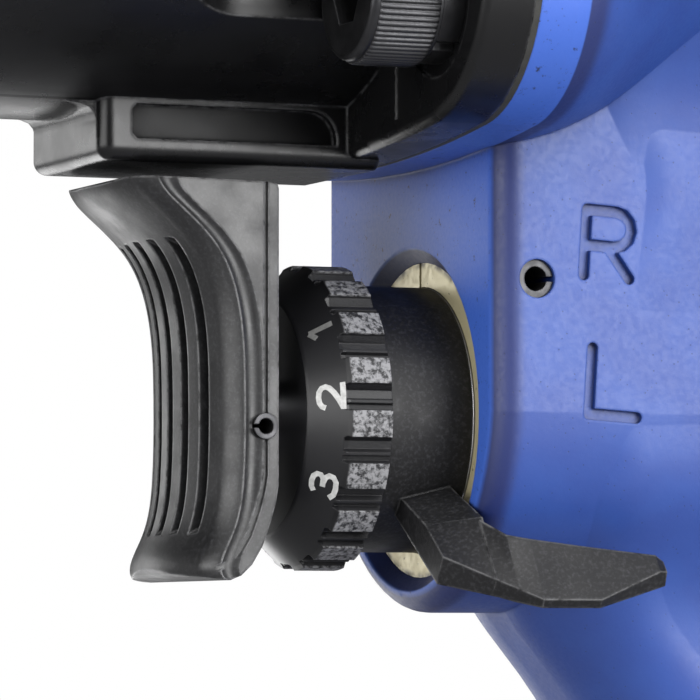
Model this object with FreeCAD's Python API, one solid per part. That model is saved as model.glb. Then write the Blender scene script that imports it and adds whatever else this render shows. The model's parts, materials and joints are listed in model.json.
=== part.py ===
import FreeCAD
import Part
import math
import os
from FreeCAD import Vector

os.makedirs("parts", exist_ok=True)

# Pistol-grip air impact wrench, millimetres.
# Origin: where the square drive leaves the anvil's shoulder, on the drive axis.
# +X points forward out of the nose, +Y to the tool's left side, +Z up.

# ---- driving dimensions -------------------------------------------------------
BOSS_X = -80.0            # machined front face of the handle boss
VALVE_Z = -56.0           # axis of trigger rod, power dial and reverse lever
SQUARE = 12.7             # across flats of the 1/2 inch square drive
SQUARE_LEN = 16.0
HOUSING_FACE = BOSS_X + 4.0   # front face of the motor housing
GASKET_T = 0.5
RIM_T = 3.0               # straight rim of the motor housing behind its joint face
FLANGE_T = 4.2            # thickness of the hammer case flange
FLANGE_FRONT = HOUSING_FACE + GASKET_T + FLANGE_T
SEAT_X = FLANGE_FRONT - 0.3   # spot face under the lock washers
WASHER_T = 1.8
FLANGE_HALF = 36.2        # half width of the rounded-square joint flange
FLANGE_CORNER = 12.0
FLANGE_SPREAD = 7.3       # half angle of each bowed side, degrees
CASE_R = 33.0
CASE_BORE = 29.0
NOSE_R = 18.0
NOSE_X = -3.4             # front end of the hammer case
RIB_HALF = 8.2            # strengthening rib under the hammer case
RIB_FRONT = BOSS_X + 29.2
BOLT_POS = 25.3           # case screws sit at (+-BOLT_POS, +-BOLT_POS)
BOLT_R = 3.0              # M6 shank
BOLT_HEAD_R = 5.2
BOLT_HEAD_H = 5.8
POCKET_R = 6.1
BARREL_R = 32.6
REAR_X = BOSS_X - 62.0    # rear face of the motor housing
REAR_HALF = 32.5
REAR_CORNER = 13.0
REAR_BOLT_POS = 23.0      # rear cover screws, M5
REAR_BOLT_R = 2.5
LINER_R = 25.0
LINER_BORE = 20.0
ECCENTRIC = 2.2           # the liner bore sits this far above the drive axis
LINER_FRONT = BOSS_X - 12.0
LINER_LEN = 40.0
LINER_BACK = LINER_FRONT - LINER_LEN
ROTOR_R = 17.6
HALF_GRIP = 17.5          # half width of the handle at the trigger
BOSS_DROP = 15.4          # bottom of the boss below the valve axis
BUSH_FACE = BOSS_X - 1.1
BUSH_R = 12.6             # brass valve bushing
COLLAR_BACK = BOSS_X - 0.95   # the lever's collar meets its valve here
COLLAR_R = 10.6           # reverse lever collar and reverse valve
SLEEVE_R = 7.0            # power dial sleeve
ROD_R = 3.0
ROD_FRONT = BOSS_X + 18.0  # blind end of the rod's hole in the trigger is just past it
DIAL_R = 12.1
DIAL_TEETH = 18
DIAL_GAP_R = 11.2         # bottom of the gaps between the dial's teeth
DIAL_BACK = BOSS_X + 6.15
DIAL_FRONT = BOSS_X + 12.6
DIAL_TURN = 4.4           # where the teeth stand at rest, degrees
TRIGGER_HALF = 9.0
TRIGGER_SAG = 2.0         # bow of the trigger's front across its width
TRIGGER_BLANK = BOSS_X + 11.0
GROOVE_DEPTH = 1.05       # finger grooves
GROOVE_HALF = 0.6
GROOVE_PITCH = 2.7
GROOVES = 5
TRIGGER_TOP = VALVE_Z + 17.85
RIM_DEPTH = 0.25           # fine groove that sets off the trigger's rear rim
TRIGGER_BACK = BOSS_X + 14.8
TRIGGER_PIN_X = BOSS_X + 15.9
RAKE = 3.6                # lean of the handle and its letters, degrees
BASE_Z = VALVE_Z - 88.0   # underside of the handle casting
INLET_Z = BASE_Z - 9.0
INLET_X = BOSS_X - 32.0
INLET_BORE = 5.7          # 1/4 inch NPT
EXHAUST_Z = BASE_Z - 6.0
CAGE_BACK = BOSS_X + 6.0
CAGE_FRONT = BOSS_X + 50.0
CAGE_R = 28.0
DISC_T = 5.0
PIN_R = 3.5
PIN_POS = 19.5
HAMMER_R = 24.0
HAMMER_GAP = 0.5
HAMMER_T = (CAGE_FRONT - CAGE_BACK - 2 * DISC_T - 3 * HAMMER_GAP) / 2
HAMMER_OPEN = 15.2
ANVIL_CORE = 9.5
ANVIL_JAW = 12.2
X_AXIS = Vector(1, 0, 0)
Y_AXIS = Vector(0, 1, 0)
Z_AXIS = Vector(0, 0, 1)


# ---- small shape helpers ------------------------------------------------------
def rod_x(x0, x1, r, y=0.0, z=0.0):
    return Part.makeCylinder(r, x1 - x0, Vector(x0, y, z), X_AXIS)


def rod_y(y0, y1, r, x, z):
    return Part.makeCylinder(r, y1 - y0, Vector(x, y0, z), Y_AXIS)


def rod_z(z0, z1, r, x, y=0.0):
    return Part.makeCylinder(r, z1 - z0, Vector(x, y, z0), Z_AXIS)


def tube_x(x0, x1, outer, inner, y=0.0, z=0.0):
    return rod_x(x0, x1, outer, y, z).cut(rod_x(x0, x1, inner, y, z))


def block(x0, x1, y0, y1, z0, z1):
    return Part.makeBox(x1 - x0, y1 - y0, z1 - z0, Vector(x0, y0, z0))


def cone_x(x0, x1, r0, r1, y=0.0, z=0.0):
    return Part.makeCone(r0, r1, x1 - x0, Vector(x0, y, z), X_AXIS)


def turned(profile, y=0.0, z=0.0):
    """Solid of revolution about an X axis through (y, z); profile is (x, radius)."""
    points = [Vector(x, y, z + r) for x, r in profile]
    face = Part.Face(Part.makePolygon(points + [points[0]]))
    return face.revolve(Vector(0, y, z), X_AXIS, 360)


def prism_y(outline, y0, y1):
    """Prism along Y over an (x, z) outline."""
    points = [Vector(x, y0, z) for x, z in outline]
    face = Part.Face(Part.makePolygon(points + [points[0]]))
    return face.extrude(Vector(0, y1 - y0, 0))


def turn_x(shape, degrees, y=0.0, z=0.0):
    copy = shape.copy()
    copy.rotate(Vector(0, y, z), X_AXIS, degrees)
    return copy


def fuse_all(shapes):
    return shapes[0].multiFuse(shapes[1:]) if len(shapes) > 1 else shapes[0]


def corners(reach):
    return [(y, z) for y in (-reach, reach) for z in (-reach, reach)]


def bowed_square(x, half, corner, spread):
    """Closed wire at x: a square with bowed sides and round corners, tangent throughout."""
    c, s = math.cos(math.radians(spread)), math.sin(math.radians(spread))
    big = (half - corner * (c - s)) / (1 - c + s)
    centre = (big - corner) * s
    middle = math.sqrt(0.5) * corner + centre
    first = Vector(0, half - big + big * c, -big * s)
    side = [first, Vector(0, half, 0), Vector(0, first.y, -first.z)]
    bend = [side[2], Vector(0, middle, middle), Vector(0, -first.z, first.y)]
    edges = []
    for quarter in range(4):
        for arc in (side, bend):
            turn = FreeCAD.Rotation(X_AXIS, 90 * quarter)
            a, b, d = [turn.multVec(p) + Vector(x, 0, 0) for p in arc]
            edges.append(Part.Arc(a, b, d).toShape())
    return Part.Wire(edges)


def smooth(t):
    return t * t * (3 - 2 * t)


def blend_loft(x0, x1, start, end, steps=5):
    """Loft between two bowed squares, easing in and out at both ends."""
    wires = []
    for i in range(steps + 1):
        t = i / steps
        values = [a + (b - a) * smooth(t) for a, b in zip(start, end)]
        wires.append(bowed_square(x0 + (x1 - x0) * t, *values))
    return Part.makeLoft(wires, True, False)


def flange_plate(x0, x1):
    wire = bowed_square(x0, FLANGE_HALF, FLANGE_CORNER, FLANGE_SPREAD)
    return Part.Face(wire).extrude(Vector(x1 - x0, 0, 0))


# ---- housings -----------------------------------------------------------------
def grip_section(z, front, back, half, r, lean=0.0):
    """Rounded outline in the plane z, narrower by lean at its front; front and back from the boss face."""
    x0, x1 = BOSS_X + back, BOSS_X + front
    fore = half - lean
    k = r * (1 - math.sqrt(0.5))
    points = [(x1, -fore + r), (x1, fore - r), (x1 - r, fore), (x0 + r, half),
              (x0, half - r), (x0, -half + r), (x0 + r, -half), (x1 - r, -fore)]
    mids = [(x1 - k, fore - k), (x0 + k, half - k), (x0 + k, -half + k), (x1 - k, -fore + k)]
    vec = [Vector(x, y, VALVE_Z + z) for x, y in points]
    mid = [Vector(x, y, VALVE_Z + z) for x, y in mids]
    edges = []
    for i in range(4):
        edges.append(Part.makeLine(vec[2 * i], vec[2 * i + 1]))
        edges.append(Part.Arc(vec[2 * i + 1], mid[i], vec[(2 * i + 2) % 8]).toShape())
    return Part.Wire(edges)


def grip():
    """Pistol grip: narrow under the valve boss, fuller at the palm, flared at the foot."""
    stations = [(36, -4, -52, 17.5, 9), (24, -3.4, -47, 17.5, 9), (8, -3.5, -45, 17.5, 9),
                (-2, -3.8, -45.6, 17.4, 9, 0.1), (-6, -4.2, -46.1, 16.7, 9.2, 0.3),
                (-9, -4.6, -46.6, 15.8, 9.5, 1.1), (-12, -5.9, -47.2, 14.9, 9.8, 2.1),
                (-15, -7.4, -47.8, 14.3, 9.8, 2.5), (-19.5, -10.9, -49.2, 14.0, 9.8, 2.3),
                (-24, -14.2, -50.6, 14.0, 10.4, 1.6), (-38, -17.6, -53.6, 15.2, 12.2, 0.5),
                (-56, -17.4, -54.6, 16.0, 13), (-72, -15.4, -54, 16.6, 13), (-82, -12.4, -54.4, 17.8, 13),
                (-88, -10.6, -55.4, 19.0, 13)]
    return Part.makeLoft([grip_section(*station) for station in stations], True, False)


def saddle():
    """Concave flare that carries the sides and back of the handle into the barrel."""
    stations = [(17, -3.4, -45.8, 17.3, 9), (20, -3.4, -46.3, 17.55, 9), (23, -3.4, -47.2, 17.95, 9.2),
                (26, -3.4, -48.6, 18.8, 9.6), (29, -3.4, -50.6, 20.3, 10.4), (32, -3.4, -53.2, 22.0, 11.6),
                (35, -3.4, -56.4, 24.3, 13)]
    return Part.makeLoft([grip_section(*station) for station in stations], True, False)


def boss():
    """Machined boss around the valve: flat front face, half-round bottom, rounded edge."""
    x, side, top, low = BOSS_X, HALF_GRIP, VALVE_Z + 26, VALVE_Z - BOSS_DROP
    edges = [Part.makeLine(Vector(x, -side, top), Vector(x, side, top)),
             Part.makeLine(Vector(x, side, top), Vector(x, side, VALVE_Z)),
             Part.Arc(Vector(x, side, VALVE_Z), Vector(x, 0, low), Vector(x, -side, VALVE_Z)).toShape(),
             Part.makeLine(Vector(x, -side, VALVE_Z), Vector(x, -side, top))]
    body = Part.Face(Part.Wire(edges)).extrude(Vector(-30, 0, 0))
    rims = [e for e in body.Edges if e.BoundBox.XMin > x - 0.1 and e.BoundBox.ZMin < VALVE_Z + 1]
    return body.makeFillet(2.0, rims)


def letter_stroke(points, width, depth):
    """Cutter for one engraved stroke on the left side of the handle, (u right, v up)."""
    lean = math.radians(RAKE)
    pieces = []
    placed = []
    for u, v in points:
        x = BOSS_X + u * -math.cos(lean) - v * math.sin(lean)
        z = VALVE_Z - u * math.sin(lean) + v * math.cos(lean)
        placed.append((x, z))
    for x, z in placed:
        pieces.append(rod_y(HALF_GRIP - depth, HALF_GRIP + 1, width / 2, x, z))
    for (xa, za), (xb, zb) in zip(placed, placed[1:]):
        length = math.hypot(xb - xa, zb - za)
        bar = block(0, length, HALF_GRIP - depth, HALF_GRIP + 1, -width / 2, width / 2)
        bar.rotate(Vector(0, 0, 0), Y_AXIS, -math.degrees(math.atan2(zb - za, xb - xa)))
        bar.translate(Vector(xa, 0, za))
        pieces.append(bar)
    return fuse_all(pieces)


def arc_points(cu, cv, r, start, end, count):
    turn = [math.radians(start + (end - start) * i / count) for i in range(count + 1)]
    return [(cu + r * math.cos(a), cv + r * math.sin(a)) for a in turn]


def letters():
    """R above L, engraved next to the two positions of the reverse lever."""
    stroke, depth, tall = 0.9, 0.55, 5.1
    r_wide, l_wide = 3.9, 4.1
    r0, l0 = (6.6, 11.15), (7.7, 0.4)
    bowl = tall * 0.27
    bend = arc_points(r0[0] + r_wide - bowl, r0[1] + tall - bowl, bowl, 90, -90, 6)
    r_line = [(r0[0], r0[1]), (r0[0], r0[1] + tall)] + bend + [(r0[0], r0[1] + tall - 2 * bowl)]
    r_leg = [(r0[0] + r_wide * 0.5, r0[1] + tall - 2 * bowl), (r0[0] + r_wide, r0[1])]
    l_line = [(l0[0], l0[1] + tall), l0, (l0[0] + l_wide, l0[1])]
    return fuse_all([letter_stroke(line, stroke, depth) for line in (r_line, r_leg, l_line)])


def motor_housing():
    flange = (FLANGE_HALF, FLANGE_CORNER, FLANGE_SPREAD)
    ring = (BARREL_R, BARREL_R - 0.01, 22.5)
    rear = (REAR_HALF, REAR_CORNER, 9.0)
    shell = blend_loft(HOUSING_FACE, HOUSING_FACE - RIM_T, flange, flange, 1)
    shell = shell.fuse(blend_loft(HOUSING_FACE - RIM_T, BOSS_X - 20, flange, ring))
    shell = shell.fuse(blend_loft(BOSS_X - 44, BOSS_X - 20, ring, ring, 1))
    shell = shell.fuse(blend_loft(BOSS_X - 44, REAR_X + 5, ring, rear, 4))
    shell = shell.fuse(blend_loft(REAR_X + 5, REAR_X, rear, rear, 1))
    body = shell.fuse(grip()).fuse(saddle()).fuse(boss())
    cuts = [rod_x(REAR_X - 1, BOSS_X - 2, LINER_R + 0.03),
            rod_x(BOSS_X - 3, HOUSING_FACE + 1, 9.0),
            rod_x(BOSS_X - 29, BOSS_X + 1, BUSH_R, 0, VALVE_Z),
            cone_x(BOSS_X - 1.1, BOSS_X + 0.1, BUSH_R, BUSH_R + 1.3, 0, VALVE_Z),
            rod_y(-13, HALF_GRIP + 1, 1.5, BOSS_X - 3.3, VALVE_Z + 10.3),
            rod_z(VALVE_Z + 12, VALVE_Z + 22, 2.1, BOSS_X - 15.5),
            cone_x(BOSS_X - 40, BOSS_X - 28.9, 6.5, 9.5, 0, VALVE_Z),
            rod_z(BASE_Z - 1, VALVE_Z, 6.0, INLET_X),
            rod_z(BASE_Z - 1, BASE_Z + 16, 9.0, INLET_X),
            rod_z(VALVE_Z + 2, VALVE_Z + 40, 4.0, BOSS_X - 22),
            letters()]
    for y, z in corners(BOLT_POS):
        cuts.append(rod_x(BOSS_X - 7, HOUSING_FACE + 1, BOLT_R, y, z))
    for y, z in corners(REAR_BOLT_POS):
        cuts.append(rod_x(REAR_X - 1, REAR_X + 9.5, REAR_BOLT_R, y, z))
    for side in (-1, 1):
        cuts.append(rod_z(BASE_Z - 1, VALVE_Z + 32, 2.8, BOSS_X - 40, side * 10.5))
    return body.cut(Part.makeCompound(cuts))


def hammer_case():
    front = FLANGE_FRONT
    flange = flange_plate(HOUSING_FACE + GASKET_T, front)
    rim = [e for e in flange.Edges if e.BoundBox.XLength < 0.01 and e.BoundBox.XMin > front - 0.1]
    flange = flange.makeFillet(0.7, rim)
    profile = [(HOUSING_FACE + GASKET_T, 0), (HOUSING_FACE + GASKET_T, CASE_R), (-27, CASE_R),
               (-22.5, CASE_R - 1.2), (-19, CASE_R - 4), (-13.5, NOSE_R + 4.5), (-12, NOSE_R + 1.5),
               (-10.5, NOSE_R), (NOSE_X - 1, NOSE_R), (NOSE_X, NOSE_R - 1), (NOSE_X, 0)]
    body = turned(profile).fuse(flange)
    rib_low = VALVE_Z + 19.2
    rib = block(BOSS_X + 6, RIB_FRONT, -RIB_HALF, RIB_HALF, rib_low, VALVE_Z + 30)
    low = [e for e in rib.Edges if e.BoundBox.ZMax < rib_low + 0.1 and e.BoundBox.YLength < 0.1]
    nose = [e for e in rib.Edges if e.BoundBox.XMin > RIB_FRONT - 0.1
            and (e.BoundBox.ZLength > 5 or e.BoundBox.ZMax < rib_low + 0.1)]
    rib = rib.makeFillet(1.1, low + nose)
    cove = prism_y([(RIB_FRONT + x, VALVE_Z + z) for x, z in
                    ((-2.0, 22.2), (-0.2, 22.2), (0.0, 22.4), (0.15, 22.9), (0.5, 23.3), (1.2, 23.55),
                     (2.4, 23.7), (2.4, 26), (-2.0, 26))], -RIB_HALF + 1.1, RIB_HALF - 1.1)
    body = body.fuse(rib).fuse(cove)
    low_z, high_z, front_x, back_x = VALVE_Z + 20.9, VALVE_Z + 23.6, RIB_FRONT - 2.6, BOSS_X + 9.6
    bend = [(back_x + 2.2 - 2.2 * math.cos(a), high_z - 2.2 + 2.2 * math.sin(a))
            for a in (math.radians(15 * i) for i in range(7))]
    outline = [(back_x, low_z)] + bend + [(front_x - 0.4, high_z), (front_x, high_z - 0.4),
                                          (front_x, low_z + 0.4), (front_x - 0.4, low_z)]
    panel = prism_y(outline, RIB_HALF - 0.8, RIB_HALF + 2)
    cuts = [panel, panel.mirror(Vector(0, 0, 0), Y_AXIS)]
    for y, z in corners(BOLT_POS):
        pocket = rod_x(SEAT_X, BOSS_X + 22, POCKET_R, y, z)
        bullet = Part.makeSphere(POCKET_R, Vector(BOSS_X + 22, y, z))
        cuts += [pocket, bullet, rod_x(HOUSING_FACE, BOSS_X + 12, BOLT_R + 0.3, y, z)]
    chamber = [(HOUSING_FACE, 0), (HOUSING_FACE, CASE_BORE), (-27, CASE_BORE),
               (-21.5, CASE_BORE - 4), (-21.5, 0)]
    cuts += [turned(chamber), rod_x(-24, NOSE_X + 1, 14.0), rod_x(-6.5, NOSE_X + 1, 14.5)]
    return body.cut(Part.makeCompound(cuts))


def case_gasket():
    plate = flange_plate(HOUSING_FACE, HOUSING_FACE + GASKET_T)
    cuts = [rod_x(HOUSING_FACE - 1, HOUSING_FACE + 2, CASE_BORE)]
    cuts += [rod_x(HOUSING_FACE - 1, HOUSING_FACE + 2, BOLT_R + 0.3, y, z) for y, z in corners(BOLT_POS)]
    return plate.cut(Part.makeCompound(cuts))


def cap_screw(x_seat, length, shank, head_r, head_h, hex_r, y, z):
    """Socket head cap screw seated at x_seat, shank towards -X."""
    body = rod_x(x_seat, x_seat + head_h, head_r, y, z)
    rim = [e for e in body.Edges if e.BoundBox.XLength < 0.01 and e.BoundBox.XMin > x_seat + 1]
    body = body.makeFillet(0.5, rim)
    body = body.fuse(rod_x(x_seat - length, x_seat, shank, y, z))
    turn = [math.radians(60 * i) for i in range(6)]
    points = [Vector(x_seat + head_h * 0.45, y + hex_r * math.cos(a), z + hex_r * math.sin(a)) for a in turn]
    socket = Part.Face(Part.makePolygon(points + [points[0]])).extrude(Vector(head_h, 0, 0))
    return body.cut(socket)


def hammer_case_screws():
    return [cap_screw(SEAT_X + WASHER_T, 16.2, BOLT_R, BOLT_HEAD_R, BOLT_HEAD_H, 2.7, y, z)
            for y, z in corners(BOLT_POS)]


def case_lock_washers():
    washers = []
    for y, z in corners(BOLT_POS):
        ring = tube_x(SEAT_X, SEAT_X + WASHER_T, BOLT_HEAD_R - 0.1, BOLT_R + 0.1, y, z)
        out_y, out_z = math.copysign(4.2, y), math.copysign(4.2, z)
        split = block(SEAT_X - 1, SEAT_X + 3, y + out_y - 1.6, y + out_y + 1.6,
                      z + out_z - 0.4, z + out_z + 0.4)
        washers.append(ring.cut(split))
    return washers


def rear_plate(x0, x1):
    wire = bowed_square(x0, REAR_HALF, REAR_CORNER, 9.0)
    return Part.Face(wire).extrude(Vector(x1 - x0, 0, 0))


def rear_gasket():
    plate = rear_plate(REAR_X - GASKET_T, REAR_X)
    cuts = [rod_x(REAR_X - 2, REAR_X + 1, LINER_R - 0.5)]
    cuts += [rod_x(REAR_X - 2, REAR_X + 1, REAR_BOLT_R + 0.3, y, z) for y, z in corners(REAR_BOLT_POS)]
    return plate.cut(Part.makeCompound(cuts))


def rear_cover():
    back = REAR_X - GASKET_T
    plate = blend_loft(back - 6.5, back, (REAR_HALF, REAR_CORNER, 9.0), (REAR_HALF, REAR_CORNER, 9.0), 1)
    rim = [e for e in plate.Edges if e.BoundBox.XLength < 0.01 and e.BoundBox.XMax < back - 6]
    plate = plate.makeFillet(2.4, rim)
    dome = turned([(back - 13, 0), (back - 13, 15), (back - 12, 18), (back - 9.5, 20.5),
                   (back - 6, 22.5), (back - 1, 22.5), (back - 1, 0)])
    lip = tube_x(back - 1, REAR_X + 0.9, LINER_R - 0.6, LINER_R - 3.5)
    body = plate.fuse(dome).fuse(lip)
    cuts = [rod_x(back - 8, REAR_X + 2, 17.0)]
    for y, z in corners(REAR_BOLT_POS):
        cuts += [rod_x(back - 20, back + 1, REAR_BOLT_R + 0.3, y, z), rod_x(back - 20, back - 4.2, 5.2, y, z)]
    return body.cut(Part.makeCompound(cuts))


def rear_cover_screws():
    screws = []
    seat = REAR_X - GASKET_T - 4.2
    for y, z in corners(REAR_BOLT_POS):
        screw = cap_screw(seat, 13, REAR_BOLT_R, 4.25, 4.6, 2.3, y, z)
        screw.rotate(Vector(seat, y, z), Y_AXIS, 180)
        screws.append(screw)
    return screws


# ---- motor --------------------------------------------------------------------
def cylinder_liner():
    body = tube_x(LINER_BACK, LINER_FRONT, LINER_R, 0.1)
    cuts = [rod_x(LINER_BACK - 1, LINER_FRONT + 1, LINER_BORE, 0, ECCENTRIC)]
    for i in range(5):
        x = LINER_BACK + 6 + 7 * i
        cuts.append(rod_z(-LINER_R - 1, -LINER_BORE + 4, 2.0, x))
    cuts.append(rod_x(LINER_BACK - 1, LINER_BACK + 6, 1.5, 22.5, -6))
    cuts.append(rod_x(LINER_FRONT - 6, LINER_FRONT + 1, 1.5, 22.5, -6))
    return body.cut(Part.makeCompound(cuts))


def dowels():
    return [rod_x(LINER_BACK - 4, LINER_BACK + 5.5, 1.5, 22.5, -6),
            rod_x(LINER_FRONT - 5.5, LINER_FRONT + 4, 1.5, 22.5, -6)]


def front_end_plate():
    back, front = LINER_FRONT, BOSS_X - 2
    body = rod_x(back, front, LINER_R)
    cuts = [rod_x(front - 8, front + 1, 14.0), rod_x(back - 1, front, 7.0),
            rod_x(back - 1, back + 4.2, 1.5, 22.5, -6)]
    return body.cut(Part.makeCompound(cuts))


def rear_end_plate():
    front, back = LINER_BACK, LINER_BACK - 9
    body = rod_x(back, front, LINER_R)
    cuts = [rod_x(back - 1, back + 7, 12.0), rod_x(back, front + 1, 6.0),
            rod_x(front - 4.2, front + 1, 1.5, 22.5, -6)]
    return body.cut(Part.makeCompound(cuts))


def bearing(x0, x1, outer, inner, ball_r, count):
    """Outer race, inner race and the separate balls of a deep-groove ball bearing."""
    pitch, mid = (outer + inner) / 2, (x0 + x1) / 2
    groove = Part.makeTorus(pitch, ball_r + 0.03, Vector(mid, 0, 0), X_AXIS)
    land = ball_r * 0.55
    outer_race = tube_x(x0, x1, outer, pitch + land).cut(groove)
    inner_race = tube_x(x0, x1, pitch - land, inner).cut(groove)
    balls = []
    for i in range(count):
        a = 2 * math.pi * i / count
        balls.append(Part.makeSphere(ball_r, Vector(mid, pitch * math.cos(a), pitch * math.sin(a))))
    return outer_race, inner_race, balls


def rotor():
    core = rod_x(LINER_BACK + 0.1, LINER_FRONT - 0.1, ROTOR_R)
    front = rod_x(LINER_FRONT - 0.2, BOSS_X + 2, 6.0)
    spline = fuse_all([rod_x(BOSS_X + 2, BOSS_X + 10.5, 5.0)]
                      + [turn_x(block(BOSS_X + 2, BOSS_X + 10.5, -0.9, 0.9, 4, 6.0), 60 * i) for i in range(6)])
    back = rod_x(LINER_BACK - 8.8, LINER_BACK + 0.2, 5.0)
    body = fuse_all([core, front, spline, back])
    slots = [turn_x(block(LINER_BACK, LINER_FRONT, -1.05, 1.05, 9.0, ROTOR_R + 1), 60 * i) for i in range(6)]
    return body.cut(Part.makeCompound(slots))


def rotor_vanes():
    vane = block(LINER_BACK + 0.25, LINER_FRONT - 0.25, -1.0, 1.0, 9.2, ROTOR_R - 0.2)
    return [turn_x(vane, 60 * i) for i in range(6)]


# ---- hammer mechanism ---------------------------------------------------------
def hammer_cage():
    rear = rod_x(CAGE_BACK, CAGE_BACK + DISC_T, CAGE_R)
    front = rod_x(CAGE_FRONT - DISC_T, CAGE_FRONT, CAGE_R)
    bridges = []
    for side in (0, 180):
        ring = tube_x(CAGE_BACK, CAGE_FRONT, CAGE_R, 25.6)
        wedge = block(CAGE_BACK, CAGE_FRONT, 0, 40, -12, 12)
        bridges.append(ring.common(turn_x(wedge, side)))
    body = fuse_all([rear, front] + bridges)
    spline = fuse_all([rod_x(CAGE_BACK - 1, CAGE_BACK + DISC_T + 1, 5.0)]
                      + [turn_x(block(CAGE_BACK - 1, CAGE_BACK + DISC_T + 1, -0.9, 0.9, 4, 6.0), 60 * i)
                         for i in range(6)])
    cuts = [spline, rod_x(CAGE_FRONT - DISC_T - 1, CAGE_FRONT + 1, ANVIL_JAW + 0.8)]
    cuts += [rod_x(CAGE_BACK - 1, CAGE_FRONT + 1, PIN_R, 0, z) for z in (-PIN_POS, PIN_POS)]
    return body.cut(Part.makeCompound(cuts))


def hammer_pins():
    return [rod_x(CAGE_BACK, CAGE_FRONT, PIN_R, 0, z) for z in (-PIN_POS, PIN_POS)]


def hammer(back, turn):
    """Rocking hammer dog: a ring round the anvil, pivoting on one pin, slotted for the other."""
    body = tube_x(back, back + HAMMER_T, HAMMER_R, HAMMER_OPEN)
    lug = block(back, back + HAMMER_T, 3.6, 9.0, 8.9, 15).common(rod_x(back, back + HAMMER_T, 18))
    lug = lug.cut(rod_x(back - 1, back + HAMMER_T + 1, 10.6))
    body = body.fuse(lug)
    clear = block(back - 1, back + HAMMER_T + 1, -6.5, 6.5, -HAMMER_R - 3, -HAMMER_OPEN + 1)
    body = body.cut(Part.makeCompound([rod_x(back - 1, back + HAMMER_T + 1, PIN_R + 0.08, 0, PIN_POS), clear]))
    return turn_x(body, turn)


def anvil():
    jaw_back = CAGE_BACK + DISC_T + HAMMER_GAP
    core = rod_x(jaw_back, CAGE_FRONT + 0.5, ANVIL_CORE)
    jaws = []
    for side in (0, 180):
        wedge = block(jaw_back, CAGE_FRONT - DISC_T - HAMMER_GAP, 4, ANVIL_JAW + 1, -4.2, 4.2)
        jaws.append(turn_x(wedge, side).common(rod_x(jaw_back, CAGE_FRONT, ANVIL_JAW)))
    thrust = rod_x(CAGE_FRONT + 0.3, CAGE_FRONT + 3.3, 16.0)
    journal = rod_x(CAGE_FRONT + 3, -1.0, 10.5)
    shoulder = cone_x(-1.0, 0, 10.5, 9.5)
    half = SQUARE / 2
    square = block(-0.5, SQUARE_LEN, -half, half, -half, half)
    square = square.common(rod_x(-0.5, SQUARE_LEN, 8.35))
    tip = turned([(-0.6, 0), (-0.6, 9.5), (SQUARE_LEN - 1.4, 9.0), (SQUARE_LEN, 7.2), (SQUARE_LEN, 0)])
    body = fuse_all([core, thrust, journal, shoulder, square.common(tip)] + jaws)
    groove = tube_x(SQUARE_LEN - 6.2, SQUARE_LEN - 3.4, 12, 6.1)
    cuts = [groove, rod_x(SQUARE_LEN - 1.2, SQUARE_LEN + 1, 3.0)]
    return body.cut(Part.makeCompound(cuts))


def retaining_ring():
    x0 = SQUARE_LEN - 6.0
    ring = tube_x(x0, x0 + 2.4, 8.3, 7.2)
    return ring.cut(block(x0 - 1, x0 + 4, 5, 10, -1.5, 1.5))


def retaining_o_ring():
    x0 = SQUARE_LEN - 6.0
    return tube_x(x0 + 0.4, x0 + 2.0, 7.15, 6.15)


def anvil_bushing():
    return tube_x(-21.5, -6.5, 14.0, 10.56)


def nose_seal():
    return tube_x(-6.4, NOSE_X - 0.2, 14.5, 10.62)


# ---- trigger, power dial and reverse valve ------------------------------------
def trigger_front(z):
    """Distance of the trigger's centre line in front of the boss face at height z."""
    profile = [(19.4, 27.4), (18.6, 27.6), (17.6, 27.4), (16.3, 26.4), (14.4, 23.9), (11.4, 21.65),
               (6.7, 20.5), (1.2, 20.35), (-2.7, 20.4), (-6.6, 20.5), (-9.4, 21.35), (-11.3, 22.25),
               (-12.6, 22.0), (-13.5, 21.3)]
    for (z0, x0), (z1, x1) in zip(profile, profile[1:]):
        if z1 <= z <= z0:
            return x0 + (x1 - x0) * (z0 - z) / (z0 - z1)
    return profile[-1][1]


def trigger_section(z, sag):
    """Bowed front, rounded shoulders, a shallow valley and a flat side back to the handle."""
    front = BOSS_X + trigger_front(z)
    half = TRIGGER_HALF
    r = 1.6
    height = VALVE_Z + z
    side = front - sag

    def point(x, y):
        return Vector(x, y, height)

    edges = [Part.makeLine(point(TRIGGER_BLANK, -half), point(TRIGGER_BLANK, half)),
             Part.makeLine(point(TRIGGER_BLANK, half), point(side - 2.3, half)),
             Part.Arc(point(side - 2.3, half), point(side - 1.5, half - 0.3),
                      point(side - 0.8, half - 0.06)).toShape(),
             Part.Arc(point(side - 0.8, half - 0.06), point(side - 0.1, half - 0.55),
                      point(side + 0.45 * r, half - 1.25 * r)).toShape(),
             Part.Arc(point(side + 0.45 * r, half - 1.25 * r), point(front, 0),
                      point(side + 0.45 * r, -half + 1.25 * r)).toShape(),
             Part.Arc(point(side + 0.45 * r, -half + 1.25 * r), point(side - 0.1, -half + 0.55),
                      point(side - 0.8, -half + 0.06)).toShape(),
             Part.Arc(point(side - 0.8, -half + 0.06), point(side - 1.5, -half + 0.3),
                      point(side - 2.3, -half)).toShape(),
             Part.makeLine(point(side - 2.3, -half), point(TRIGGER_BLANK, -half))]
    return Part.Wire(edges)


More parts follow.
